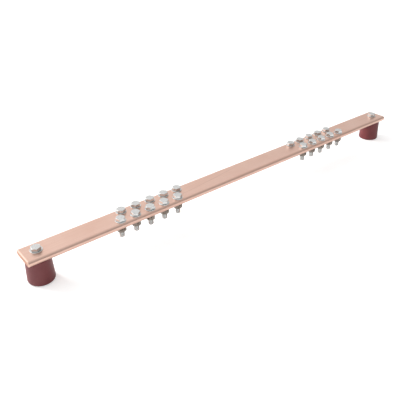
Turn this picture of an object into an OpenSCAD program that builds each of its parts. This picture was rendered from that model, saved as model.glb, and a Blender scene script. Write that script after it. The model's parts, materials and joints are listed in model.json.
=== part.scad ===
// Rack grounding busbar: a flat copper bar on two moulded standoff insulators,
// with two groups of hex bolts and nuts that clamp the earth leads.
// Millimetres. X runs along the bar, Z is up, and the origin lies midway
// between the two insulators, on the surface that they stand on.

/* [Bar] */
// Distance between the centres of the two insulators, as the screw holes of a 19-inch rack
mount_spacing = 465; // [420:5:900]
// Length of bar past the centre of each insulator
end_margin = 12.5; // [10:0.5:40]
// Width of the bar
bar_w = 25; // [23:0.5:40]
// Thickness of the bar
bar_t = 6; // [4:0.5:10]
// Radius of the rolled long edges, up to nearly half the thickness
edge_r = 2.8; // [0.5:0.1:4.5]
// Radius of the bar's corners, seen from above
corner_r = 1; // [0.5:0.1:3]
// Rounding where the sawn ends meet the two wide faces
end_r = 1.2; // [0.2:0.1:1.8]

/* [Terminals] */
// Bolts in each row, with two rows on each side of the middle
row_count = 5; // [1:1:5]
// Distance from one bolt to the next in a row
pitch = 16; // [13:0.5:18]
// Distance between the front row and the back row
row_spacing = 12.5; // [11:0.5:14]
// Distance from an insulator's centre to the first bolt of the front row
first_bolt = 77.5; // [30:0.5:100]
// Shift of each back row towards the middle of the bar
stagger = 8; // [6.5:0.5:9]

/* [Bolts and nuts] */
// Nominal diameter of every thread
thread_d = 5; // [4:0.5:5.5]
// Width across flats of heads and nuts
hex_af = 8; // [7.5:0.1:10]
// Height of a bolt's head
head_h = 2.9; // [2.5:0.1:5]
// Height of a nut
nut_h = 4.5; // [3:0.1:6]
// Thread that stands out under a nut
tip_reach = 6.7; // [3:0.1:9]
// Length of the chamfer on a bolt's tip
tip_chamfer = 0.9; // [0.3:0.1:1.5]
// Outer diameter of the terminal washers
washer_d = 10.4; // [9:0.1:12]
// Thickness of the terminal washers
washer_t = 0.8; // [0.6:0.1:2]
// Outer diameter of the washers over the insulators
end_washer_d = 11; // [10:0.1:18]
// Thickness of the washers over the insulators
end_washer_t = 0.8; // [0.6:0.1:2]
// Thread that reaches into an insulator under the bar
end_reach = 7; // [4:0.5:8]

/* [Insulators] */
// Height of an insulator
ins_h = 24; // [22:0.5:40]
// Diameter at the top, under the bar
ins_top_d = 22.2; // [16:0.1:23]
// Diameter at the base
ins_base_d = 24.2; // [23:0.1:30]
// Rounding of the base rim
ins_base_r = 2; // [0.5:0.1:4]
// Rounding of the top rim
ins_top_r = 0.8; // [0.3:0.1:2]
// Width across flats of the threaded inserts
insert_af = 9; // [8.5:0.1:11]
// Depth of the groove that locks an insert in its moulding
insert_groove = 0.8; // [0.3:0.1:1]

/* [Hidden] */
// Clearances
hole_play = 0.5;     // bar holes and washers, over the thread's diameter
thread_play = 0.05;  // radial gap between a bolt and the thread that takes it
bore_spare = 1;      // insert bore past the bolt's tip
insert_floor = 1;    // metal past the end of an insert's bore

// Small forms that all the fasteners share
hex_corner_angle = 30;     // slope of the chamfer on a hexagon's corners
hex_top_share = 0.95;      // chamfer circle, as a share of the width across flats
bearing_h = 0.2;           // raised bearing face under a head
bearing_share = 0.9;       // its diameter, as a share of the width across flats
thread_mouth = 0.4;        // countersink at the mouth of a thread
hole_mouth = 0.3;          // deburred mouth of a bar hole
washer_edge = 0.15;        // rolled outer edge of a washer
insert_groove_w = 2.4;     // width of the locking groove
cut_past = 1;              // how far a cutter runs past the face that it cuts

// Sizes worked out from the ones above
bar_l = mount_spacing + 2 * end_margin;
bar_top = ins_h + bar_t;
edge_limit = bar_t / 2 - 0.1;
edge = min(edge_r, edge_limit);
hole_d = thread_d + hole_play;
bolt_d = thread_d - thread_play;
tapped_d = thread_d + thread_play;
bolt_l = washer_t + bar_t + nut_h + tip_reach;
end_bolt_l = end_washer_t + bar_t + end_reach;
bore_depth = end_reach + bore_spare;
insert_l = bore_depth + insert_floor;
first_x = mount_spacing / 2 - first_bolt;

// The four rows of bolts: side of the middle, side of the bar, and place of the first bolt
ROWS = ["left_front", "left_back", "right_front", "right_back"];
row_side = [-1, -1, 1, 1];
row_edge = [-1, 1, -1, 1];
row_start = [first_x, first_x - stagger, first_x, first_x - stagger];
SIDES = ["left", "right"];
side_sign = [-1, 1];

// How far each head and each nut ended up turned when it was tightened, in degrees,
// from the end of the bar towards its middle
head_turn = [[50, 30, 5, 40, 30], [20, 0, 5, 10, 50], [45, 45, 40, 45, 25], [30, 45, 35, 45, 25]];
nut_turn = [[25, 10, 55, 15, 10], [35, 5, 50, 20, 40], [10, 20, 15, 25, 5], [15, 45, 0, 30, 55]];
end_turn = [20, 20];

function part_name(kind, row, i) = str(kind, "_", ROWS[row], "_", i + 1);
function bolt_x(row, i) = row_side[row] * (row_start[row] - i * pitch);
function bolt_y(row) = row_edge[row] * row_spacing / 2;
function turn_of(turns, i) = turns[i % len(turns)];

row_ids = [0 : len(ROWS) - 1];
bolt_ids = [0 : row_count - 1];
side_ids = [0 : len(SIDES) - 1];

$fn = 64;

copper = [0.87, 0.66, 0.56];
maroon = [0.47, 0.21, 0.22];
bright_zinc = [0.82, 0.82, 0.80];
brass_tone = [0.78, 0.66, 0.40];

// ---- Bar ----

// Section across the bar, with rolled long edges
module bar_section() {
    square([bar_w - 2 * edge, bar_t], center = true);
    square([bar_w, bar_t - 2 * edge], center = true);
    for (sx = [-1, 1], sy = [-1, 1])
        translate([sx * (bar_w / 2 - edge), sy * (bar_t / 2 - edge)])
            circle(r = edge);
}

// Outline seen from above, with rounded corners
module bar_outline() {
    square([bar_l - 2 * corner_r, bar_w], center = true);
    square([bar_l, bar_w - 2 * corner_r], center = true);
    for (sx = [-1, 1], sy = [-1, 1])
        translate([sx * (bar_l / 2 - corner_r), sy * (bar_w / 2 - corner_r)])
            circle(r = corner_r);
}

// Outline seen from the front, with rounded ends
module bar_profile() {
    square([bar_l - 2 * end_r, bar_t], center = true);
    square([bar_l, bar_t - 2 * end_r], center = true);
    for (sx = [-1, 1], sz = [-1, 1])
        translate([sx * (bar_l / 2 - end_r), sz * (bar_t / 2 - end_r)])
            circle(r = end_r);
}

// Drilled hole through the bar, centred on its thickness, with both mouths deburred
module bar_hole() {
    cylinder(d = hole_d, h = bar_t + 2 * cut_past, center = true);
    for (flip = [0, 1])
        mirror([0, 0, flip])
            translate([0, 0, bar_t / 2 - hole_mouth])
                cylinder(d1 = hole_d, d2 = hole_d + 2 * (hole_mouth + cut_past), h = hole_mouth + cut_past);
}

module busbar() {
    color(copper)
        translate([0, 0, ins_h + bar_t / 2])
            difference() {
                intersection() {
                    rotate([90, 0, 90])
                        linear_extrude(bar_l, center = true)
                            bar_section();
                    linear_extrude(bar_t + 2 * cut_past, center = true)
                        bar_outline();
                    rotate([90, 0, 0])
                        linear_extrude(bar_w + 2 * cut_past, center = true)
                            bar_profile();
                }
                for (s = side_sign)
                    translate([s * mount_spacing / 2, 0, 0])
                        bar_hole();
                for (r = row_ids, i = bolt_ids)
                    translate([bolt_x(r, i), bolt_y(r), 0])
                        bar_hole();
            }
}

// ---- Insulators and their inserts ----

// Half section of the moulding: a slight taper with an arc at each rim
module insulator_half_section() {
    base_r = ins_base_d / 2;
    slope = atan((ins_base_d - ins_top_d) / 2 / ins_h);
    low_x = base_r - ins_base_r * (1 + sin(slope)) / cos(slope);
    high_z = ins_h - ins_top_r;
    high_x = base_r - (ins_top_r + high_z * sin(slope)) / cos(slope);
    out = [cos(slope), sin(slope)];
    low_centre = [low_x, ins_base_r];
    high_centre = [high_x, high_z];
    polygon([
        [0, 0], [low_x, 0], low_centre + ins_base_r * out,
        high_centre + ins_top_r * out, [high_x, ins_h], [0, ins_h]
    ]);
    translate(low_centre)
        circle(r = ins_base_r);
    translate(high_centre)
        circle(r = ins_top_r);
}

// Outside of an insert, mouth down: a hexagon with a locking groove round its middle
module insert_blank() {
    groove_d = insert_af - 2 * insert_groove;
    land = (insert_l - insert_groove_w) / 2;
    hex_prism(land);
    translate([0, 0, land])
        cylinder(d = groove_d, h = insert_groove_w);
    translate([0, 0, insert_l - land])
        hex_prism(land);

    module hex_prism(height) {
        cylinder(d = insert_af / cos(30), h = height, $fn = 6);
    }
}

module insert() {
    color(brass_tone)
        difference() {
            insert_blank();
            translate([0, 0, -cut_past])
                cylinder(d = tapped_d, h = bore_depth + cut_past);
            thread_countersink();
        }
}

// Cone that opens the mouth of a thread at z = 0, going up
module thread_countersink() {
    translate([0, 0, -cut_past])
        cylinder(d1 = tapped_d + 2 * (thread_mouth + cut_past), d2 = tapped_d, h = thread_mouth + cut_past);
}

// Puts an insert's children mouth up in the top of an insulator
module at_insulator_top() {
    translate([0, 0, ins_h])
        mirror([0, 0, 1])
            children();
}

module insulator(side) {
    color(maroon)
        translate([side_sign[side] * mount_spacing / 2, 0, 0])
            difference() {
                rotate_extrude($fn = 96)
                    insulator_half_section();
                insert_blank();
                at_insulator_top()
                    insert_blank();
            }
}

module base_insert(side) {
    translate([side_sign[side] * mount_spacing / 2, 0, 0])
        insert();
}

module top_insert(side) {
    translate([side_sign[side] * mount_spacing / 2, 0, 0])
        at_insulator_top()
            insert();
}

// ---- Fasteners ----

// Cone that trims the corners at the top of a hexagon of this height
module corner_cone(height) {
    top_r = hex_top_share * hex_af / 2;
    cylinder(r1 = top_r + height / tan(hex_corner_angle), r2 = top_r, h = height);
}

module hexagon(height) {
    cylinder(d = hex_af / cos(30), h = height, $fn = 6);
}

// Hex bolt with its bearing face at z = 0 and its shank below
module hex_bolt(shank_l, turn) {
    color(bright_zinc) {
        rotate([0, 0, turn]) {
            cylinder(d = bearing_share * hex_af, h = head_h / 2);
            translate([0, 0, bearing_h])
                intersection() {
                    hexagon(head_h - bearing_h);
                    corner_cone(head_h - bearing_h);
                }
        }
        translate([0, 0, -shank_l + tip_chamfer])
            cylinder(d = bolt_d, h = shank_l - tip_chamfer + head_h / 2);
        translate([0, 0, -shank_l])
            cylinder(d1 = bolt_d - 2 * tip_chamfer, d2 = bolt_d, h = tip_chamfer);
    }
}

// Hex nut with its bearing face at z = 0 and its body below
module hex_nut(turn) {
    color(bright_zinc)
        translate([0, 0, -nut_h])
            difference() {
                rotate([0, 0, turn])
                    intersection() {
                        hexagon(nut_h);
                        corner_cone(nut_h);
                        translate([0, 0, nut_h])
                            mirror([0, 0, 1])
                                corner_cone(nut_h);
                    }
                translate([0, 0, -cut_past])
                    cylinder(d = tapped_d, h = nut_h + 2 * cut_past);
                thread_countersink();
                translate([0, 0, nut_h])
                    mirror([0, 0, 1])
                        thread_countersink();
            }
}

// Flat washer that lies on z = 0, its punched outer edge slightly rolled over at the top
module washer(outer_d, thickness) {
    color(bright_zinc)
        difference() {
            union() {
                cylinder(d = outer_d, h = thickness - washer_edge);
                translate([0, 0, thickness - washer_edge])
                    cylinder(d1 = outer_d, d2 = outer_d - 2 * washer_edge, h = washer_edge);
            }
            translate([0, 0, -cut_past])
                cylinder(d = hole_d, h = thickness + 2 * cut_past);
        }
}

module end_washer(side) {
    translate([side_sign[side] * mount_spacing / 2, 0, bar_top])
        washer(end_washer_d, end_washer_t);
}

module end_bolt(side) {
    translate([side_sign[side] * mount_spacing / 2, 0, bar_top + end_washer_t])
        hex_bolt(end_bolt_l, end_turn[side]);
}

module row_washers(row) {
    for (i = bolt_ids)
        translate([bolt_x(row, i), bolt_y(row), bar_top])
            washer(washer_d, washer_t);
}

module row_bolt(row, i) {
    translate([bolt_x(row, i), bolt_y(row), bar_top + washer_t])
        hex_bolt(bolt_l, turn_of(head_turn[row], i));
}

module row_nut(row, i) {
    translate([bolt_x(row, i), bolt_y(row), ins_h])
        hex_nut(turn_of(nut_turn[row], i));
}

// ---- Assembly ----

busbar();
for (s = side_ids) {
    insulator(s);
    top_insert(s);
    base_insert(s);
    end_washer(s);
    end_bolt(s);
}
for (r = row_ids) {
    row_washers(r);
    for (i = bolt_ids) {
        row_bolt(r, i);
        row_nut(r, i);
    }
}
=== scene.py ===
"""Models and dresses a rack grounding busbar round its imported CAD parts.

Everything is in metres, in the frame of the parts: X along the bar, Z up,
and the two insulators standing on Z = 0.
"""

import json
import math

import bmesh
import bpy
from bpy.props import FloatProperty, FloatVectorProperty, IntProperty, PointerProperty
from mathutils import Matrix, Vector


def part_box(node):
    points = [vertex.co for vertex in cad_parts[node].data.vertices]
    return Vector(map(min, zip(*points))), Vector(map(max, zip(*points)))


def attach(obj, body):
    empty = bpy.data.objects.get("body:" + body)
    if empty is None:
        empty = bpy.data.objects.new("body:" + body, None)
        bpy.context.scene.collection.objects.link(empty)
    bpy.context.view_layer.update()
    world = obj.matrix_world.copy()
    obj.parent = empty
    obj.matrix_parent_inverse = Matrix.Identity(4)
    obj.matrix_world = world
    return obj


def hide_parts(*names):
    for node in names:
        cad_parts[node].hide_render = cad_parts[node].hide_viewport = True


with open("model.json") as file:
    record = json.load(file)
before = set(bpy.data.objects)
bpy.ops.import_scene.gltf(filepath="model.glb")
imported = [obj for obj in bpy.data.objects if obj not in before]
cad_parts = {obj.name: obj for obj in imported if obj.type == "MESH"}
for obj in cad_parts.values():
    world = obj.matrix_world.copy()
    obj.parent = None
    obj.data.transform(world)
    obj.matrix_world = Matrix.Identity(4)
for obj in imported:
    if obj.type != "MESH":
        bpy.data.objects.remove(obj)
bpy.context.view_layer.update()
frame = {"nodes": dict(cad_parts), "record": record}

bl_info = {
    "name": "Rack Grounding Busbar",
    "version": (1, 0, 0),
    "blender": (4, 5, 0),
    "location": "View3D > Sidebar > Busbar",
    "description": "Models and dresses a copper grounding busbar for a server rack",
    "category": "Object",
}

BODY = "root"
MM = 0.001
SIDES = ("left", "right")
ROWS = ("left_front", "left_back", "right_front", "right_back")

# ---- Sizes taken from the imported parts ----


def middle(node):
    """Centre of a part's box."""
    low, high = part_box(node)
    return (low + high) / 2


def width(node):
    """Size of a part's box along X."""
    low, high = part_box(node)
    return high.x - low.x


def mount_size(name, key):
    """One of a mount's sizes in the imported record, in metres."""
    for mount in frame["record"]["mounts"]:
        if mount["name"] == name:
            return mount["dims"][key] * MM
    raise KeyError(name)


def corner_of(vertices, centre):
    """Radius and direction of the hexagon corner that lies farthest from an upright axis."""
    corners = [v.co.xy - centre.xy for v in vertices]
    far = max(corners, key=lambda c: c.length)
    return far.length, math.atan2(far.y, far.x)


def nodes_named(start):
    """Names of the CAD nodes that begin with a word, in order."""
    return sorted(n for n in frame["nodes"] if n.startswith(start))


BAR_LOW, BAR_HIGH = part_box("busbar")
BOLT_NODES = nodes_named("bolt_")
END_BOLT_NODES = nodes_named("end_bolt_")
NUT_NODES = nodes_named("nut_")
WASHER_NODES = nodes_named("washers_")
FIRST_BOLT = BOLT_NODES[0]
HEX_CORNER = corner_of(frame["nodes"][FIRST_BOLT].data.vertices, middle(FIRST_BOLT))[0]
HEX_HALF_SIDE = math.radians(30)
HEX_AF = 2 * HEX_CORNER * math.cos(HEX_HALF_SIDE)
WASHER_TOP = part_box(WASHER_NODES[0])[1].z
WASHER_T = WASHER_TOP - BAR_HIGH.z
END_WASHER_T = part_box("end_washer_left")[1].z - BAR_HIGH.z
HEAD_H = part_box(FIRST_BOLT)[1].z - WASHER_TOP
NUT_H = BAR_LOW.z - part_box(NUT_NODES[0])[0].z
STUD_R = mount_size("terminals_left_front", "stud_r_mm")
TAPPED_R = mount_size("base_thread_left", "r_mm")
TAPPED_DEPTH = mount_size("base_thread_left", "length_mm")

# ---- Forms that the standards fix, and the stage's places ----

CHAMFER_ANGLE = math.radians(30)
CHAMFER_R = 0.475 * HEX_AF
BEARING_R = 0.45 * HEX_AF
EDGE_ANGLE = math.radians(20)
THREAD_ROOT = 0.25
THREAD_CREST = 0.125
MERGE = MM / 1000
SAWN_NORMAL = 0.97
MARK_STRENGTH = 0.3
FLOOR_SIZE = 8
KEY_PLACE = (-0.6, 0.9, 0.72)
KEY_SIZE = 0.5
ROOM_AIM = (-0.45, 0.75, 0.5)
PANEL_AIM = (-0.5, 0.67, 0.54)
CAMERA_PLACE = (-0.3435, -0.3571, 0.2874)
CAMERA_DOWN = 30.711
CAMERA_TURN = 39.438
CAMERA_SHIFT = (-0.0155, -0.0087)

# ---- Settings ----


def length(name, text, default):
    """A size that a user may change."""
    return FloatProperty(name=name, description=text, default=default, min=0, unit="LENGTH", precision=5)


def colour(name, text, default):
    """A colour that a user may change, in linear red, green and blue."""
    return FloatVectorProperty(
        name=name, description=text, default=default, size=3, min=0, max=1, subtype="COLOR"
    )


def share(name, text, default):
    """A value between nothing and all."""
    return FloatProperty(name=name, description=text, default=default, min=0, max=1, subtype="FACTOR")


def number(name, text, default, unit="NONE"):
    """A value that may be below nothing or above one."""
    return FloatProperty(name=name, description=text, default=default, unit=unit)


class BusbarBarSettings(bpy.types.PropertyGroup):
    """Sizes of the copper bar and of its scratch"""

    edge_r: length("Edge radius", "Radius of the rolled long edges", 2.8 * MM)
    end_r: length("End radius", "Rounding of the sawn ends", 1.2 * MM)
    hole_play: length("Hole play", "Gap between a bolt and its hole, all round", 0.25 * MM)
    scratch_y: length("Scratch offset", "How far behind the middle the scratch crosses X = 0", 7.1 * MM)
    scratch_w: length("Scratch width", "Width of the scratch on the top face", 0.45 * MM)
    scratch_slope: number("Scratch slope", "Slope of the scratch at X = 0", 0.174)
    scratch_bend: number("Scratch bend", "How fast the slope changes along X", 0.575)
    scratch_start: number("Scratch start", "Place of its left end along X", -0.1, "LENGTH")
    scratch_end: number("Scratch end", "Place of its right end along X", 0.012, "LENGTH")


class BusbarMouldingSettings(bpy.types.PropertyGroup):
    """Sizes of the insulators and of their inserts"""

    base_r: length("Base rim", "Rounding of the base rim", 2 * MM)
    top_r: length("Top rim", "Rounding of the top rim", 0.8 * MM)
    taper: length("Taper", "How much narrower the top is than the base, each side", 1 * MM)
    insert_groove: length("Insert groove", "Depth of the groove round an insert", 0.8 * MM)
    insert_groove_w: length("Groove width", "Width of the groove round an insert", 2.4 * MM)


class BusbarFastenerSettings(bpy.types.PropertyGroup):
    """Sizes of the bolts, nuts and washers"""

    thread_pitch: length("Thread pitch", "Rise of the thread in one turn", 0.8 * MM)
    thread_depth: length("Thread depth", "Depth of the thread's groove", 0.4 * MM)
    tip_chamfer: length("Tip chamfer", "Length of the chamfer on a bolt's tip", 0.9 * MM)
    bearing_h: length("Bearing face", "Height of the raised face under a head", 0.2 * MM)
    hex_bevel: length("Hexagon edges", "Softening of the edges between the flats", 0.12 * MM)
    washer_edge: length("Washer edge", "Rolled outer edge of a washer", 0.15 * MM)
    countersink: length("Countersink", "Width of the countersink at a thread's mouth", 0.4 * MM)
    thread_steps: IntProperty(
        name="Thread steps", description="Faces in one turn of a thread", default=28, min=8
    )


class BusbarFinishSettings(bpy.types.PropertyGroup):
    """Colours of the metals and of the moulding"""

    copper: colour("Copper", "Bare copper", (0.87, 0.61, 0.51))
    copper_deep: colour("Deep copper", "Copper in its darker streaks", (0.78, 0.50, 0.40))
    sawn: colour("Sawn copper", "Copper on the sawn ends", (0.66, 0.36, 0.23))
    sawn_deep: colour("Deep sawn copper", "Saw marks in the copper", (0.52, 0.26, 0.16))
    tarnish: colour("Tarnish", "Marks and scratches in the copper", (0.28, 0.13, 0.09))
    moulding: colour("Moulding", "Maroon moulding", (0.17, 0.030, 0.034))
    moulding_pale: colour("Pale moulding", "Moulding in its paler clouds", (0.21, 0.045, 0.048))
    zinc: colour("Zinc", "Bright zinc plate", (0.80, 0.80, 0.79))
    zinc_dull: colour("Dull zinc", "Zinc plate in its duller patches", (0.64, 0.64, 0.63))
    # The two nut colours are darker than the bolts' zinc as painted shade. They stand in for the shadowed
    # floor under the bar that the nuts reflect.
    nut_zinc_painted_shade: colour("Nut zinc", "Darker plate on the nuts", (0.34, 0.29, 0.25))
    nut_dull_painted_shade: colour("Dull nut zinc", "Plate on the nuts in its duller patches", (0.20, 0.165, 0.14))
    brass: colour("Brass", "Turned brass", (0.66, 0.45, 0.19))
    brass_deep: colour("Deep brass", "Brass in its tool marks", (0.50, 0.31, 0.11))


class BusbarStageSettings(bpy.types.PropertyGroup):
    """Floor, light and lens"""

    floor_white: share("Floor white", "Whiteness of the floor's paint", 0.75)
    back_light: share("Back light", "Brightness of the studio behind the bar", 1.0)
    front_light: share("Front light", "Brightness of the room in front", 0.40)
    panel_light: share("Panel light", "What a lit panel behind the left end adds", 0.8)
    glow: share("Floor glow", "How far the floor is whitened to the camera", 0.45)
    gleam: share("Floor gleam", "How far the floor is whitened in the metal", 0.2)
    key_power: number("Key light", "Power of the softbox behind", 14, "POWER")
    focal: number("Focal length", "Camera lens", 46.548, "CAMERA")


# ---- Modelling helpers ----


def pick_none():
    """Leaves nothing selected, out of edit mode."""
    if bpy.context.object and bpy.context.object.mode != "OBJECT":
        bpy.ops.object.mode_set(mode="OBJECT")
    bpy.ops.object.select_all(action="DESELECT")


def pick_only(piece):
    """Selects one object and makes it the active one."""
    pick_none()
    piece.select_set(True)
    bpy.context.view_layer.objects.active = piece


def added(name):
    """Names the primitive that was just added."""
    piece = bpy.context.object
    piece.name = name
    piece.data.name = name
    return piece


def edit(piece, kind="VERT", test=None):
    """Goes into edit mode with only the vertices, edges or faces that pass the test selected."""
    pick_only(piece)
    bpy.ops.object.mode_set(mode="EDIT")
    bpy.ops.mesh.select_mode(type=kind)
    bpy.ops.mesh.select_all(action="SELECT" if test is None else "DESELECT")
    if test is not None:
        mesh = bmesh.from_edit_mesh(piece.data)
        items = {"VERT": mesh.verts, "EDGE": mesh.edges, "FACE": mesh.faces}[kind]
        for item in items:
            if test(item):
                item.select_set(True)
        mesh.select_flush_mode()
        bmesh.update_edit_mesh(piece.data)


def done():
    """Leaves edit mode."""
    bpy.ops.object.mode_set(mode="OBJECT")


def modify(piece, kind, **settings):
    """Adds a modifier to a piece and applies it."""
    modifier = piece.modifiers.new(kind.title(), kind)
    for key, value in settings.items():
        setattr(modifier, key, value)
    pick_only(piece)
    bpy.ops.object.modifier_apply(modifier=modifier.name)


def combine(piece, tool, operation):
    """Cuts a piece with a tool, joins the two, or keeps what they share. The tool is used up."""
    modify(piece, "BOOLEAN", object=tool, operation=operation, solver="EXACT")
    bpy.data.objects.remove(tool)


def place_in_mesh(piece):
    """Moves an object's place, turn and scale into its mesh."""
    pick_only(piece)
    bpy.ops.object.transform_apply(location=True, rotation=True, scale=True)


def copied(piece, name, offset=(0, 0, 0), turn=0):
    """A copy of a piece with its own mesh, turned about Z and moved."""
    pick_only(piece)
    bpy.ops.object.duplicate(linked=False)
    twin = added(name)
    twin.matrix_world = Matrix.Translation(offset) @ Matrix.Rotation(turn, 4, "Z")
    place_in_mesh(twin)
    return twin


def joined(pieces, name):
    """One object made of several."""
    pick_none()
    for piece in pieces:
        piece.select_set(True)
    bpy.context.view_layer.objects.active = pieces[0]
    bpy.ops.object.join()
    return added(name)


def cylinder(name, radius, low, high, sides=64, top_radius=None):
    """An upright cylinder or cone on the Z axis, between two heights."""
    pick_none()
    middle_z = (low + high) / 2
    if top_radius is None:
        bpy.ops.mesh.primitive_cylinder_add(
            vertices=sides, radius=radius, depth=high - low, location=(0, 0, middle_z)
        )
    else:
        bpy.ops.mesh.primitive_cone_add(
            vertices=sides, radius1=radius, radius2=top_radius, depth=high - low, location=(0, 0, middle_z)
        )
    piece = added(name)
    place_in_mesh(piece)
    return piece


def traced(name, points):
    """An open outline in the XZ plane, drawn from point to point by extruding one vertex."""
    pick_none()
    bpy.ops.mesh.primitive_plane_add(size=MM)
    piece = added(name)
    edit(piece)
    bpy.ops.mesh.merge(type="CENTER")
    here = Vector((0, 0, 0))
    for number, (x, z) in enumerate(points):
        step = Vector((x, 0, z)) - here
        here += step
        if number == 0:
            bpy.ops.transform.translate(value=step)
        else:
            bpy.ops.mesh.extrude_region_move(TRANSFORM_OT_translate={"value": step})
    done()
    return piece


def spun(name, points, steps):
    """A turned solid: a closed outline of radii and heights spun round the Z axis."""
    piece = traced(name, points + points[:1])
    edit(piece)
    bpy.ops.mesh.spin(
        steps=steps, angle=math.tau, center=(0, 0, 0), axis=(0, 0, 1), use_auto_merge=False
    )
    bpy.ops.mesh.select_all(action="SELECT")
    bpy.ops.mesh.remove_doubles(threshold=MERGE)
    bpy.ops.mesh.normals_make_consistent(inside=False)
    done()
    return piece


def arc(centre, radius, start, end, steps):
    """Points on an arc, as radius and height, with angles in degrees."""
    angles = [math.radians(start + (end - start) * i / steps) for i in range(steps + 1)]
    return [(centre[0] + radius * math.cos(a), centre[1] + radius * math.sin(a)) for a in angles]


def smooth(piece, degrees=30):
    """Smooth shading across soft edges, with large flat faces kept flat."""
    pick_only(piece)
    bpy.ops.object.shade_smooth_by_angle(angle=math.radians(degrees), keep_sharp_edges=False)
    modify(piece, "WEIGHTED_NORMAL", keep_sharp=True)


def finished(piece, slot, material, *nodes):
    """Hands a piece to the frame: its body, the CAD nodes that it stands for, and its finish."""
    piece.data.materials.clear()
    piece.data.materials.append(material)
    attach(piece, BODY)
    if nodes:
        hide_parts(*nodes)
    return piece


def dress_node(node, material):
    """Gives a CAD node a better material."""
    slots = frame["nodes"][node].material_slots
    for slot in slots:
        slot.material = material


# ---- Shader groups and materials ----


def node_at(tree, kind, **settings):
    """Adds a shader node. Names with _ for a space set sockets, the others set the node."""
    node = tree.nodes.new(kind)
    for key, value in settings.items():
        if hasattr(node, key):
            setattr(node, key, value)
        else:
            node.inputs[key.replace("_", " ")].default_value = value
    return node


def feed(tree, socket, value):
    """Links an output to a socket, or sets the socket to a plain number."""
    if isinstance(value, bpy.types.NodeSocket):
        tree.links.new(value, socket)
    else:
        socket.default_value = value


def calc(tree, operation, *values):
    """A Math node fed with outputs or plain numbers. Gives its output."""
    node = node_at(tree, "ShaderNodeMath", operation=operation)
    for socket, value in zip(node.inputs, values):
        feed(tree, socket, value)
    return node.outputs["Value"]


def ramp(tree, value, source, target):
    """Carries a value from one range to another and stops at its ends. Gives its output."""
    node = node_at(
        tree, "ShaderNodeMapRange",
        From_Min=source[0], From_Max=source[1], To_Min=target[0], To_Max=target[1],
    )
    feed(tree, node.inputs["Value"], value)
    return node.outputs["Result"]


def group_tree(name, inputs, outputs):
    """A new shader group with its sockets, and its input and output nodes."""
    tree = bpy.data.node_groups.new(name, "ShaderNodeTree")
    for label, kind, default in inputs:
        socket = tree.interface.new_socket(name=label, in_out="INPUT", socket_type=kind)
        socket.default_value = default
    for label, kind in outputs:
        tree.interface.new_socket(name=label, in_out="OUTPUT", socket_type=kind)
    return tree, tree.nodes.new("NodeGroupInput"), tree.nodes.new("NodeGroupOutput")


def grain_group():
    """Streaks, clouds and specks that vary over a metal or moulded surface.

    Stretch sets the streaks' scale along each axis. Streaks, Clouds and Specks
    come out as masks from 0 to 1.
    """
    name = "Surface Grain"
    if name in bpy.data.node_groups:
        return bpy.data.node_groups[name]
    tree, start, end = group_tree(
        name,
        [
            ("Stretch", "NodeSocketVector", (1, 1, 1)),
            ("Cloud Scale", "NodeSocketFloat", 60),
            ("Speck Scale", "NodeSocketFloat", 900),
        ],
        [
            ("Streaks", "NodeSocketFloat"),
            ("Clouds", "NodeSocketFloat"),
            ("Specks", "NodeSocketFloat"),
        ],
    )
    link = tree.links.new
    place = node_at(tree, "ShaderNodeTexCoord")
    stretched = node_at(tree, "ShaderNodeVectorMath", operation="MULTIPLY")
    link(place.outputs["Object"], stretched.inputs[0])
    link(start.outputs["Stretch"], stretched.inputs[1])
    streaks = node_at(tree, "ShaderNodeTexNoise", Scale=1, Detail=6, Roughness=0.65)
    link(stretched.outputs["Vector"], streaks.inputs["Vector"])
    clouds = node_at(tree, "ShaderNodeTexNoise", Detail=4, Roughness=0.55, Distortion=0.4)
    link(place.outputs["Object"], clouds.inputs["Vector"])
    link(start.outputs["Cloud Scale"], clouds.inputs["Scale"])
    specks = node_at(tree, "ShaderNodeTexNoise", Detail=2, Roughness=0.5)
    link(place.outputs["Object"], specks.inputs["Vector"])
    link(start.outputs["Speck Scale"], specks.inputs["Scale"])
    for source, low, high, label in (
        (streaks, 0.3, 0.7, "Streaks"),
        (clouds, 0.3, 0.7, "Clouds"),
        (specks, 0.66, 0.76, "Specks"),
    ):
        spread = node_at(tree, "ShaderNodeMapRange", From_Min=low, From_Max=high)
        link(source.outputs["Fac"], spread.inputs["Value"])
        link(spread.outputs["Result"], end.inputs[label])
    return tree


def metal(name, tone, deep, stretch, cloud_scale, rough, rough_spread, bump, depth):
    """A plated, brushed or turned metal with grain in its colour, gloss and height."""
    material = bpy.data.materials.new(name)
    material.use_nodes = True
    tree = material.node_tree
    link = tree.links.new
    shader = tree.nodes["Principled BSDF"]
    shader.inputs["Metallic"].default_value = 1
    grain = node_at(tree, "ShaderNodeGroup", node_tree=grain_group(), name="Grain")
    grain.inputs["Stretch"].default_value = stretch
    grain.inputs["Cloud Scale"].default_value = cloud_scale
    blend = node_at(tree, "ShaderNodeMath", operation="MULTIPLY_ADD")
    blend.inputs[1].default_value = depth
    link(grain.outputs["Streaks"], blend.inputs[0])
    haze = node_at(tree, "ShaderNodeMath", operation="MULTIPLY")
    haze.inputs[1].default_value = 1 - depth
    link(grain.outputs["Clouds"], haze.inputs[0])
    link(haze.outputs["Value"], blend.inputs[2])
    paint = node_at(tree, "ShaderNodeMix", data_type="RGBA")
    paint.inputs["A"].default_value = (*deep, 1)
    paint.inputs["B"].default_value = (*tone, 1)
    link(blend.outputs["Value"], paint.inputs["Factor"])
    link(paint.outputs["Result"], shader.inputs["Base Color"])
    gloss = node_at(tree, "ShaderNodeMapRange", To_Min=rough + rough_spread, To_Max=rough - rough_spread)
    link(grain.outputs["Clouds"], gloss.inputs["Value"])
    link(gloss.outputs["Result"], shader.inputs["Roughness"])
    relief = node_at(tree, "ShaderNodeBump", Strength=bump, Distance=0.02 * MM)
    link(grain.outputs["Streaks"], relief.inputs["Height"])
    link(relief.outputs["Normal"], shader.inputs["Normal"])
    return material


def made_once(name, make):
    """The material of that name, made the first time it is asked for."""
    if name not in bpy.data.materials:
        make(name)
    return bpy.data.materials[name]


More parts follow.
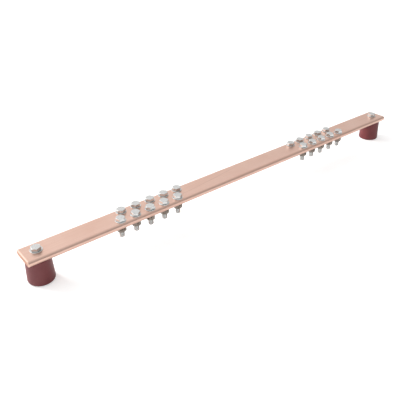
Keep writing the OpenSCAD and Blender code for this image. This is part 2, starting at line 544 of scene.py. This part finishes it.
def scratch_mask(tree, sizes):
    """One long hairline scratch on the bar's top face, that bends as it goes."""
    place = node_at(tree, "ShaderNodeSeparateXYZ")
    tree.links.new(node_at(tree, "ShaderNodeTexCoord").outputs["Object"], place.inputs["Vector"])
    x, y, z = (place.outputs[axis] for axis in "XYZ")
    slope = calc(tree, "MULTIPLY_ADD", x, sizes.scratch_bend, sizes.scratch_slope)
    line = calc(tree, "MULTIPLY_ADD", x, slope, sizes.scratch_y)
    gap = calc(tree, "ABSOLUTE", calc(tree, "SUBTRACT", y, line))
    mask = ramp(tree, gap, (0, sizes.scratch_w), (1, 0))
    fade = (sizes.scratch_end - sizes.scratch_start) / 4
    for end, step in ((sizes.scratch_start, fade), (sizes.scratch_end, -fade)):
        mask = calc(tree, "MULTIPLY", mask, ramp(tree, x, (end, end + step), (0, 1)))
    return calc(tree, "MULTIPLY", mask, ramp(tree, z, (BAR_HIGH.z - sizes.edge_r, BAR_HIGH.z), (0, 1)))


def copper_material():
    """Brushed copper with a scratch and a few dark specks."""
    look = bpy.context.scene.busbar_finish
    sizes = bpy.context.scene.busbar_bar

    def make(name):
        material = metal(name, look.copper, look.copper_deep, (10, 800, 800), 35, 0.32, 0.04, 0.25, 0.6)
        tree = material.node_tree
        shader = tree.nodes["Principled BSDF"]
        grain = tree.nodes["Grain"].outputs
        bare = shader.inputs["Base Color"].links[0].from_socket
        specks = calc(tree, "MULTIPLY", grain["Specks"], grain["Clouds"])
        marks = calc(tree, "MAXIMUM", specks, scratch_mask(tree, sizes))
        marks = calc(tree, "MULTIPLY", marks, MARK_STRENGTH)
        marked = node_at(tree, "ShaderNodeMix", data_type="RGBA")
        marked.inputs["B"].default_value = (*look.tarnish, 1)
        tree.links.new(marks, marked.inputs["Factor"])
        tree.links.new(bare, marked.inputs["A"])
        tree.links.new(marked.outputs["Result"], shader.inputs["Base Color"])

    return made_once("Brushed Copper", make)


def sawn_copper_material():
    """Duller copper with saw marks, for the two ends of the bar."""
    look = bpy.context.scene.busbar_finish
    return made_once(
        "Sawn Copper",
        lambda name: metal(name, look.sawn, look.sawn_deep, (900, 60, 2200), 250, 0.42, 0.05, 0.5, 0.7),
    )


def zinc_material():
    """Bright plate of the bolts and washers."""
    look = bpy.context.scene.busbar_finish
    return made_once(
        "Bright Zinc",
        lambda name: metal(name, look.zinc, look.zinc_dull, (500, 500, 500), 300, 0.24, 0.06, 0.2, 0.4),
    )


def shaded_nut_material():
    """Zinc of the nuts, darkened with painted shade: it stands in for the shadowed floor under the bar
    that the nuts reflect.
    """
    look = bpy.context.scene.busbar_finish
    return made_once(
        "Nut Zinc Painted Shade",
        lambda name: metal(name, look.nut_zinc_painted_shade, look.nut_dull_painted_shade, (500, 500, 500), 260, 0.27, 0.06, 0.2, 0.4),
    )


def brass_material():
    """Turned brass of the inserts."""
    look = bpy.context.scene.busbar_finish
    return made_once(
        "Turned Brass",
        lambda name: metal(name, look.brass, look.brass_deep, (200, 200, 1500), 200, 0.3, 0.05, 0.2, 0.5),
    )


def moulding_material():
    """Satin maroon moulding of the insulators."""
    look = bpy.context.scene.busbar_finish

    def make(name):
        material = bpy.data.materials.new(name)
        material.use_nodes = True
        tree = material.node_tree
        link = tree.links.new
        shader = tree.nodes["Principled BSDF"]
        grain = node_at(tree, "ShaderNodeGroup", node_tree=grain_group())
        grain.inputs["Stretch"].default_value = (1800, 1800, 1800)
        grain.inputs["Cloud Scale"].default_value = 90
        paint = node_at(tree, "ShaderNodeMix", data_type="RGBA")
        paint.inputs["A"].default_value = (*look.moulding, 1)
        paint.inputs["B"].default_value = (*look.moulding_pale, 1)
        link(grain.outputs["Clouds"], paint.inputs["Factor"])
        link(paint.outputs["Result"], shader.inputs["Base Color"])
        gloss = node_at(tree, "ShaderNodeMapRange", To_Min=0.42, To_Max=0.52)
        link(grain.outputs["Clouds"], gloss.inputs["Value"])
        link(gloss.outputs["Result"], shader.inputs["Roughness"])
        relief = node_at(tree, "ShaderNodeBump", Strength=0.12, Distance=0.03 * MM)
        link(grain.outputs["Streaks"], relief.inputs["Height"])
        link(relief.outputs["Normal"], shader.inputs["Normal"])

    return made_once("Satin Moulding", make)


# ---- Fasteners ----


def chamfer_cone(name, low, high, inner):
    """Cone at 30 degrees that trims a hexagon's corners towards one face."""
    grow = abs(high - low) / math.tan(CHAMFER_ANGLE)
    if high > low:
        return cylinder(name, inner + grow, low, high, 96, inner)
    return cylinder(name, inner, high, low, 96, inner + grow)


def hexagon(name, low, high):
    """Six-sided blank on the Z axis."""
    return cylinder(name, HEX_CORNER, low, high, 6)


def soften_edges(blank, sizes):
    """Takes the sharpness off a hexagon's edges."""
    modify(blank, "BEVEL", width=sizes.hex_bevel, segments=2, limit_method="ANGLE", angle_limit=EDGE_ANGLE)


def threaded_rod(name, radius, low, high):
    """A rod on the Z axis with a real screw thread, closed at both ends."""
    sizes = bpy.context.scene.busbar_fasteners
    pitch, root = sizes.thread_pitch, radius - sizes.thread_depth
    flank = (1 - THREAD_ROOT - THREAD_CREST) / 2 * pitch
    turns = math.ceil((high - low) / pitch) + 3
    start = low - 1.5 * pitch
    rod = traced(
        name,
        [
            (root, start),
            (root, start + THREAD_ROOT * pitch),
            (radius, start + THREAD_ROOT * pitch + flank),
            (radius, start + (THREAD_ROOT + THREAD_CREST) * pitch + flank),
            (root, start + pitch),
        ],
    )
    modify(
        rod, "SCREW", axis="Z", angle=math.tau, screw_offset=pitch, iterations=turns,
        steps=sizes.thread_steps, render_steps=sizes.thread_steps,
        use_merge_vertices=True, merge_threshold=MERGE, use_normal_calculate=True,
    )
    for height, side in ((low, -1), (high, 1)):
        edit(rod)
        bpy.ops.mesh.bisect(
            plane_co=(0, 0, height), plane_no=(0, 0, side), use_fill=True, clear_outer=True,
            threshold=MERGE,
        )
        bpy.ops.mesh.select_all(action="SELECT")
        bpy.ops.mesh.remove_doubles(threshold=MERGE)
        bpy.ops.mesh.normals_make_consistent(inside=False)
        done()
    return rod


def bolt_blank(name, shank_l):
    """A hex bolt with its bearing face at Z = 0 and its threaded shank below."""
    sizes = bpy.context.scene.busbar_fasteners
    head = hexagon(name, sizes.bearing_h, HEAD_H)
    cone = chamfer_cone("cone", sizes.bearing_h - MM, HEAD_H, CHAMFER_R)
    combine(head, cone, "INTERSECT")
    soften_edges(head, sizes)
    bearing = cylinder("bearing", BEARING_R, 0, HEAD_H / 2, 64)
    combine(head, bearing, "UNION")
    rod = threaded_rod("rod", STUD_R, -shank_l, HEAD_H / 3)
    tip = cylinder(
        "tip", STUD_R - sizes.tip_chamfer, -shank_l, -shank_l + 4 * sizes.tip_chamfer, 96,
        STUD_R + 3 * sizes.tip_chamfer,
    )
    rest = cylinder("rest", 2 * STUD_R, -shank_l + 3 * sizes.tip_chamfer, HEAD_H, 96)
    combine(tip, rest, "UNION")
    combine(rod, tip, "INTERSECT")
    combine(head, rod, "UNION")
    smooth(head)
    return head


def turn_like(piece, node):
    """How far to turn a hexagon so that its corners point as a CAD node's do."""
    here = corner_of(piece.data.vertices, Vector((0, 0, 0)))[1]
    there = corner_of(frame["nodes"][node].data.vertices, middle(node))[1]
    return there - here


def retired(piece):
    """Deletes a pattern piece whose copies are in place."""
    bpy.data.objects.remove(piece)


class BUSBAR_OT_bolts(bpy.types.Operator):
    """Models the terminal bolts and the two end bolts, with real threads"""

    bl_idname = "busbar.bolts"
    bl_label = "Bolts"

    def execute(self, context):
        for nodes, bearing_z in ((BOLT_NODES, WASHER_TOP), (END_BOLT_NODES, BAR_HIGH.z + END_WASHER_T)):
            pattern = bolt_blank("bolt", bearing_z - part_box(nodes[0])[0].z)
            for node in nodes:
                place = Vector((middle(node).x, middle(node).y, bearing_z))
                bolt = copied(pattern, "hex_" + node, place, turn_like(pattern, node))
                finished(bolt, "zinc_steel", zinc_material(), node)
            retired(pattern)
        return {"FINISHED"}


class BUSBAR_OT_nuts(bpy.types.Operator):
    """Models the nuts under the bar, chamfered at both faces"""

    bl_idname = "busbar.nuts"
    bl_label = "Nuts"

    def execute(self, context):
        sizes = context.scene.busbar_fasteners
        sink = sizes.countersink
        pattern = hexagon("nut", -NUT_H, 0)
        combine(pattern, chamfer_cone("upper", -NUT_H - MM, 0, CHAMFER_R), "INTERSECT")
        combine(pattern, chamfer_cone("lower", MM, -NUT_H, CHAMFER_R), "INTERSECT")
        soften_edges(pattern, sizes)
        bore = spun(
            "bore",
            [
                (0, -NUT_H - sink), (TAPPED_R + 2 * sink, -NUT_H - sink), (TAPPED_R, -NUT_H + sink),
                (TAPPED_R, -sink), (TAPPED_R + 2 * sink, sink), (0, sink),
            ],
            64,
        )
        combine(pattern, bore, "DIFFERENCE")
        smooth(pattern)
        for node in NUT_NODES:
            place = Vector((middle(node).x, middle(node).y, BAR_LOW.z))
            nut = copied(pattern, "hex_" + node, place, turn_like(pattern, node))
            # The nuts' darker zinc is painted shade, not a different plating.
            finished(nut, "zinc_steel", shaded_nut_material(), node)
        retired(pattern)
        return {"FINISHED"}


def washer_blank(name, outer, thickness):
    """A flat washer on Z = 0 with a rolled outer edge."""
    sizes = bpy.context.scene.busbar_fasteners
    inner = STUD_R + bpy.context.scene.busbar_bar.hole_play
    roll = 2 * sizes.washer_edge
    outline = [(inner, 0), (outer - roll / 2, 0), (outer, roll / 2)]
    outline += arc((outer - roll, thickness - roll), roll, 0, 90, 5)
    outline += [(inner + roll / 2, thickness), (inner, thickness - roll / 2)]
    piece = spun(name, outline, 72)
    smooth(piece, 35)
    return piece


class BUSBAR_OT_washers(bpy.types.Operator):
    """Models the washers under the bolt heads"""

    bl_idname = "busbar.washers"
    bl_label = "Washers"

    def execute(self, context):
        for row, node in zip(ROWS, ["washers_" + r for r in ROWS]):
            bolts = [n for n in BOLT_NODES if n.startswith("bolt_" + row)]
            low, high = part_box(node)
            pattern = washer_blank("washer", (high.y - low.y) / 2, WASHER_T)
            places = [Vector((middle(b).x, middle(b).y, BAR_HIGH.z)) for b in bolts]
            rings = [copied(pattern, "ring", place) for place in places]
            retired(pattern)
            finished(joined(rings, "washer_row_" + row), "zinc_steel", zinc_material(), node)
        for node in nodes_named("end_washer_"):
            pattern = washer_blank("washer", width(node) / 2, END_WASHER_T)
            ring = copied(pattern, "flat_" + node, Vector((middle(node).x, middle(node).y, BAR_HIGH.z)))
            retired(pattern)
            finished(ring, "zinc_steel", zinc_material(), node)
        return {"FINISHED"}


# ---- Bar ----


class BUSBAR_OT_bar(bpy.types.Operator):
    """Models the copper bar, with rolled edges, rounded ends and drilled holes"""

    bl_idname = "busbar.bar"
    bl_label = "Copper bar"

    def execute(self, context):
        sizes = context.scene.busbar_bar
        centre = middle("busbar")
        reach = (BAR_HIGH - BAR_LOW) / 2
        pick_none()
        bpy.ops.mesh.primitive_cube_add(size=2, location=centre, scale=reach)
        bar = added("copper_bar")
        place_in_mesh(bar)
        edit(bar, "EDGE", lambda e: abs(e.verts[0].co.x - e.verts[1].co.x) > reach.x)
        bpy.ops.mesh.bevel(offset=sizes.edge_r, segments=14, profile=0.5, affect="EDGES")
        done()
        edit(bar, "FACE", lambda f: abs(f.normal.x) > 0.9)
        bpy.ops.mesh.select_mode(type="EDGE")
        bpy.ops.mesh.region_to_loop()
        bpy.ops.mesh.bevel(offset=sizes.end_r, segments=6, profile=0.5, affect="EDGES")
        done()
        pins = []
        for node in BOLT_NODES + END_BOLT_NODES:
            radius = STUD_R + sizes.hole_play
            pin = cylinder("pin", radius, -reach.z - MM, reach.z + MM, 48)
            place = Vector((middle(node).x, middle(node).y, centre.z))
            pins.append(copied(pin, "pin", place))
            retired(pin)
        combine(bar, joined(pins, "drill"), "DIFFERENCE")
        smooth(bar, 35)
        finished(bar, "copper", copper_material(), "busbar")
        bar.data.materials.append(sawn_copper_material())
        for face in bar.data.polygons:
            face.material_index = int(abs(face.normal.x) > SAWN_NORMAL)
        return {"FINISHED"}


# ---- Insulators ----


def insert_hexagon(node, low, high):
    """A hexagonal blank with the size and turn of a CAD insert, between two heights."""
    corner, turn = corner_of(frame["nodes"][node].data.vertices, middle(node))
    blank = cylinder("blank", corner, low, high, 6)
    turned = copied(blank, "blank", (0, 0, 0), turn - corner_of(blank.data.vertices, Vector((0, 0, 0)))[1])
    retired(blank)
    return turned


def insert_socket(node, base, top):
    """The space that an insert fills in its moulding, run out past the face that it opens to."""
    low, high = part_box(node)
    low_z = base - MM if low.z < base + MM else low.z
    high_z = top + MM if high.z > top - MM else high.z
    blank = insert_hexagon(node, low_z, high_z)
    placed = copied(blank, "socket", Vector((middle(node).x, middle(node).y, 0)))
    retired(blank)
    return placed


def threaded_insert(node):
    """A hexagonal brass insert with a locking groove and a tapped hole that is open below."""
    sizes = bpy.context.scene.busbar_moulding
    fasteners = bpy.context.scene.busbar_fasteners
    low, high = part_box(node)
    length_z = high.z - low.z
    corner = corner_of(frame["nodes"][node].data.vertices, middle(node))[0]
    blank = insert_hexagon(node, 0, length_z)
    groove_r = corner * math.cos(HEX_HALF_SIDE) - sizes.insert_groove
    half = sizes.insert_groove_w / 2
    ring = [(groove_r, -half), (2 * corner, -half), (2 * corner, half), (groove_r, half)]
    combine(blank, spun("ring", [(x, z + length_z / 2) for x, z in ring], 64), "DIFFERENCE")
    sink = fasteners.countersink
    tap = threaded_rod("tap", TAPPED_R, -MM, TAPPED_DEPTH)
    combine(blank, tap, "DIFFERENCE")
    combine(blank, cylinder("mouth", TAPPED_R + 2 * sink, -sink, sink, 64, TAPPED_R), "DIFFERENCE")
    smooth(blank)
    insert = copied(blank, "threaded_" + node, Vector((middle(node).x, middle(node).y, low.z)))
    retired(blank)
    return insert


class BUSBAR_OT_insulators(bpy.types.Operator):
    """Models the tapered mouldings that the bar stands on"""

    bl_idname = "busbar.insulators"
    bl_label = "Insulators"

    def execute(self, context):
        sizes = context.scene.busbar_moulding
        for side in SIDES:
            node = "insulator_" + side
            low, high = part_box(node)
            height, base = high.z - low.z, width(node) / 2
            slope = math.degrees(math.atan(sizes.taper / height))
            lean = math.radians(slope)
            low_x = base - sizes.base_r * (1 + math.sin(lean)) / math.cos(lean)
            high_z = height - sizes.top_r
            high_x = base - (sizes.top_r + high_z * math.sin(lean)) / math.cos(lean)
            outline = [(0, 0)]
            outline += arc((low_x, sizes.base_r), sizes.base_r, -90, slope, 12)
            outline += arc((high_x, high_z), sizes.top_r, slope, 90, 8)
            outline += [(0, height)]
            moulding = spun("moulding", outline, 128)
            place = Vector((middle(node).x, middle(node).y, low.z))
            piece = copied(moulding, "standoff_" + side, place)
            retired(moulding)
            for end in ("top_insert_", "base_insert_"):
                combine(piece, insert_socket(end + side, low.z, high.z), "DIFFERENCE")
            smooth(piece, 40)
            finished(piece, "moulding", moulding_material(), node)
            dress_node("top_insert_" + side, brass_material())
            base_node = "base_insert_" + side
            finished(threaded_insert(base_node), "insert_brass", brass_material(), base_node)
        return {"FINISHED"}


# ---- Stage ----


def brightness_toward(tree, place, aim, spread, levels):
    """A level that rises as the direction turns towards an aim, between two cosines."""
    toward = node_at(tree, "ShaderNodeVectorMath", operation="DOT_PRODUCT")
    toward.inputs[1].default_value = Vector(aim).normalized()
    tree.links.new(place, toward.inputs[0])
    return ramp(tree, toward.outputs["Value"], spread, levels)


def studio_world(look):
    """White to the camera, and to the metal a studio that is bright behind and dim in front."""
    world = bpy.data.worlds.new("Studio")
    bpy.context.scene.world = world
    world.use_nodes = True
    tree = world.node_tree
    link = tree.links.new
    tree.nodes.clear()
    end = node_at(tree, "ShaderNodeOutputWorld")
    place = node_at(tree, "ShaderNodeTexCoord").outputs["Generated"]
    room = brightness_toward(tree, place, ROOM_AIM, (-0.6, 0.8), (look.front_light, look.back_light))
    panel = brightness_toward(tree, place, PANEL_AIM, (0.8, 0.96), (0, look.panel_light))
    studio = node_at(tree, "ShaderNodeBackground", Color=(1, 1, 1, 1))
    link(calc(tree, "ADD", room, panel), studio.inputs["Strength"])
    white = node_at(tree, "ShaderNodeBackground", Color=(1, 1, 1, 1), Strength=1)
    rays = node_at(tree, "ShaderNodeLightPath")
    seen = node_at(tree, "ShaderNodeMixShader")
    link(rays.outputs["Is Camera Ray"], seen.inputs["Fac"])
    link(studio.outputs["Background"], seen.inputs[1])
    link(white.outputs["Background"], seen.inputs[2])
    link(seen.outputs["Shader"], end.inputs["Surface"])


def floor_material(look):
    """White paper that glows a little to the camera and in reflections, and keeps its shadows."""
    material = bpy.data.materials.new("Paper Floor")
    material.use_nodes = True
    tree = material.node_tree
    link = tree.links.new
    shader = tree.nodes["Principled BSDF"]
    white = look.floor_white
    shader.inputs["Base Color"].default_value = (white, white, white, 1)
    shader.inputs["Roughness"].default_value = 1
    shader.inputs["Specular IOR Level"].default_value = 0
    shader.inputs["Emission Color"].default_value = (1, 1, 1, 1)
    rays = node_at(tree, "ShaderNodeLightPath").outputs
    shown = calc(tree, "MULTIPLY", rays["Is Camera Ray"], look.glow)
    mirrored = calc(tree, "MAXIMUM", rays["Is Glossy Ray"], rays["Is Transmission Ray"])
    mirrored = calc(tree, "MULTIPLY", mirrored, look.gleam)
    link(calc(tree, "MAXIMUM", shown, mirrored), shader.inputs["Emission Strength"])
    return material


def softbox(name, place, aim, size, power):
    """A square area lamp that looks at a point and doesn't show in the metal."""
    lamp = bpy.data.lights.new(name, "AREA")
    lamp.shape = "SQUARE"
    lamp.size = size
    lamp.energy = power
    holder = bpy.data.objects.new(name, lamp)
    bpy.context.scene.collection.objects.link(holder)
    holder.location = place
    holder.visible_glossy = False
    holder.rotation_euler = (Vector(aim) - Vector(place)).to_track_quat("-Z", "Y").to_euler()
    return holder


class BUSBAR_OT_stage(bpy.types.Operator):
    """Sets up the floor, the light and the camera"""

    bl_idname = "busbar.stage"
    bl_label = "Stage"

    def execute(self, context):
        look = context.scene.busbar_stage
        studio_world(look)
        pick_none()
        bpy.ops.mesh.primitive_plane_add(size=FLOOR_SIZE, location=(0, 0, 0))
        floor = added("paper_floor")
        floor.data.materials.append(floor_material(look))
        softbox("key", KEY_PLACE, (0, 0, 0), KEY_SIZE, look.key_power)
        lens = bpy.data.cameras.new("camera")
        lens.sensor_width = 36
        lens.lens = look.focal
        lens.shift_x, lens.shift_y = CAMERA_SHIFT
        lens.clip_start = 0.01
        camera = bpy.data.objects.new("camera", lens)
        context.scene.collection.objects.link(camera)
        camera.location = CAMERA_PLACE
        camera.rotation_euler = (math.radians(90 - CAMERA_DOWN), 0, math.radians(-CAMERA_TURN))
        context.scene.camera = camera
        context.scene.view_settings.view_transform = "Standard"
        return {"FINISHED"}


# ---- Add-on ----


class BUSBAR_PT_panel(bpy.types.Panel):
    """Lists the pieces of the busbar and their settings"""

    bl_label = "Grounding Busbar"
    bl_idname = "BUSBAR_PT_panel"
    bl_space_type = "VIEW_3D"
    bl_region_type = "UI"
    bl_category = "Busbar"

    def draw(self, context):
        for operator in OPERATORS:
            self.layout.operator(operator.bl_idname)
        for key in SETTINGS:
            box = self.layout.box()
            group = getattr(context.scene, key)
            for name in group.__annotations__:
                box.prop(group, name)


SETTINGS = {
    "busbar_bar": BusbarBarSettings,
    "busbar_moulding": BusbarMouldingSettings,
    "busbar_fasteners": BusbarFastenerSettings,
    "busbar_finish": BusbarFinishSettings,
    "busbar_stage": BusbarStageSettings,
}
OPERATORS = (
    BUSBAR_OT_bar,
    BUSBAR_OT_insulators,
    BUSBAR_OT_washers,
    BUSBAR_OT_bolts,
    BUSBAR_OT_nuts,
    BUSBAR_OT_stage,
)


def register():
    """Adds the settings, the operators and the panel to Blender."""
    for key, group in SETTINGS.items():
        bpy.utils.register_class(group)
        setattr(bpy.types.Scene, key, PointerProperty(type=group))
    for operator in OPERATORS:
        bpy.utils.register_class(operator)
    bpy.utils.register_class(BUSBAR_PT_panel)


def unregister():
    """Takes them all out again."""
    bpy.utils.unregister_class(BUSBAR_PT_panel)
    for operator in reversed(OPERATORS):
        bpy.utils.unregister_class(operator)
    for key, group in reversed(SETTINGS.items()):
        delattr(bpy.types.Scene, key)
        bpy.utils.unregister_class(group)


def main():
    """Builds every piece."""
    register()
    bpy.ops.busbar.bar()
    bpy.ops.busbar.insulators()
    bpy.ops.busbar.washers()
    bpy.ops.busbar.bolts()
    bpy.ops.busbar.nuts()
    bpy.ops.busbar.stage()


if __name__ == "__main__":
    main()
